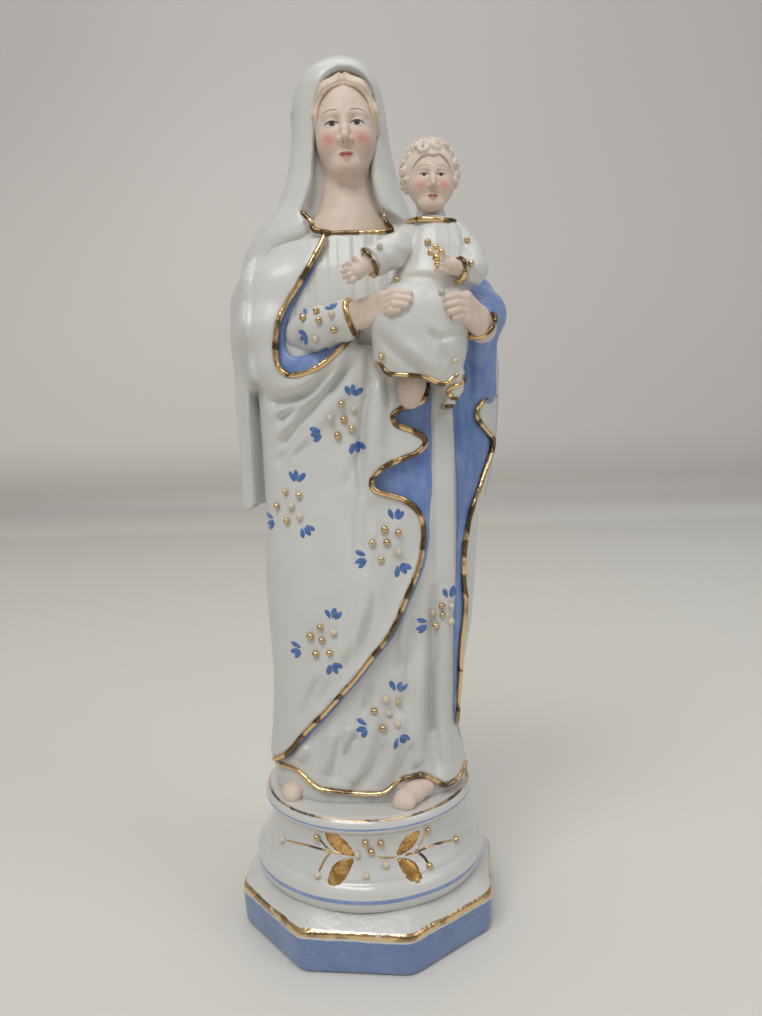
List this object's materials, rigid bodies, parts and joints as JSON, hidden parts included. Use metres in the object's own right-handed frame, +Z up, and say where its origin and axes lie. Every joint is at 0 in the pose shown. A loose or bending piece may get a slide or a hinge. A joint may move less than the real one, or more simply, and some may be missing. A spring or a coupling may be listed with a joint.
{
  "type": "madonna statue",
  "caption": "Porcelain mother and child figure in a veil and gilt-edged mantle, on a round plinth and an octagonal foot.",
  "frame": {"origin": "centre of the foot's resting face, on the plinth's axis", "axes": "+Z up along the figure, -Y the way the mother faces, +X to the viewer's right, where the child sits"},
  "size_m": [0.1079, 0.102, 0.33],
  "materials": {
    "porcelain_glaze": "cool white gloss glaze",
    "blue_foot_glaze": "painted blue under gloss glaze, white on the sloping top",
    "blue_enamel": "brushed blue enamel",
    "bisque_skin": "matt tinted bisque",
    "tinted_hair": "matt tinted bisque",
    "gilding": "fired bright gold over glaze, rubbed",
    "pearl_enamel": "raised enamel drops, gilded and rubbed"
  },
  "bodies": {
    "root": {"child_collar": "gilding", "child_foot": "bisque_skin", "child_hair": "tinted_hair", "child_head": "bisque_skin", "child_hem_edging": "gilding", "child_left_cuff": "gilding", "child_left_hand": "bisque_skin", "child_left_sleeve": "porcelain_glaze", "child_right_cuff": "gilding", "child_right_hand": "bisque_skin", "child_right_sleeve": "porcelain_glaze", "child_robe": "porcelain_glaze", "gown": "porcelain_glaze", "gown_enamel_drops": "pearl_enamel", "gown_hem_edging": "gilding", "gown_hem_folds": "porcelain_glaze", "gown_raised_fold": "porcelain_glaze", "left_cuff": "gilding", "left_foot": "bisque_skin", "left_hand": "bisque_skin", "left_sleeve": "porcelain_glaze", "mantle_arm_edging": "gilding", "mantle_arm_wrap": "porcelain_glaze", "mantle_back": "porcelain_glaze", "mantle_enamel_drops": "pearl_enamel", "mantle_front": "porcelain_glaze", "mantle_front_edging": "gilding", "mantle_front_lining": "blue_enamel", "mantle_left_edging": "gilding", "mantle_left_fall": "porcelain_glaze", "mantle_left_lining": "blue_enamel", "mantle_shoulder": "porcelain_glaze", "mother_hair": "tinted_hair", "mother_head": "bisque_skin", "neckline_edging": "gilding", "octagonal_foot": "blue_foot_glaze", "plinth_enamel_drops": "pearl_enamel", "posy": "gilding", "right_cuff": "gilding", "right_foot": "bisque_skin", "right_hand": "bisque_skin", "right_sleeve": "porcelain_glaze", "robe_enamel_drops": "pearl_enamel", "round_plinth": "porcelain_glaze", "sleeve_enamel_drops": "pearl_enamel", "veil": "porcelain_glaze", "veil_fall": "porcelain_glaze"}
  },
  "joints": []
}
